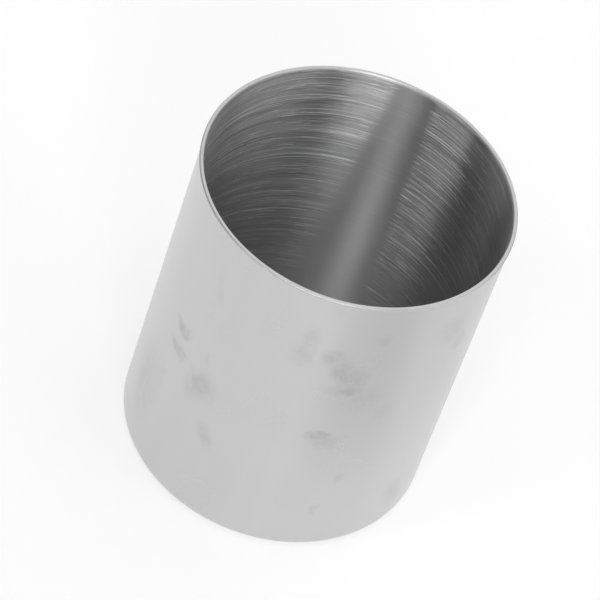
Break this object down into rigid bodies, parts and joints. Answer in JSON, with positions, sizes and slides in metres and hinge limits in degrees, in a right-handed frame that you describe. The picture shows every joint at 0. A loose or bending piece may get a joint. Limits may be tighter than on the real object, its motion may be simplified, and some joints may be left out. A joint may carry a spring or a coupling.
{
  "type": "deep drawn cup",
  "caption": "Straight-walled round metal cup drawn from one sheet, with a flat base, a rounded base corner and a trimmed lip that leans out slightly.",
  "frame": {"origin": "centre of the base's underside, where the cup stands", "axes": "+Z is the draw axis, from the base up out of the mouth; the cup is round, so X and Y are free"},
  "size_m": [0.0848, 0.0848, 0.1],
  "materials": {
    "steel": "satin outside with faint finger marks, circumferential polishing lines inside, bright deburred lip"
  },
  "bodies": {
    "root": {"cup": "steel"}
  },
  "joints": []
}
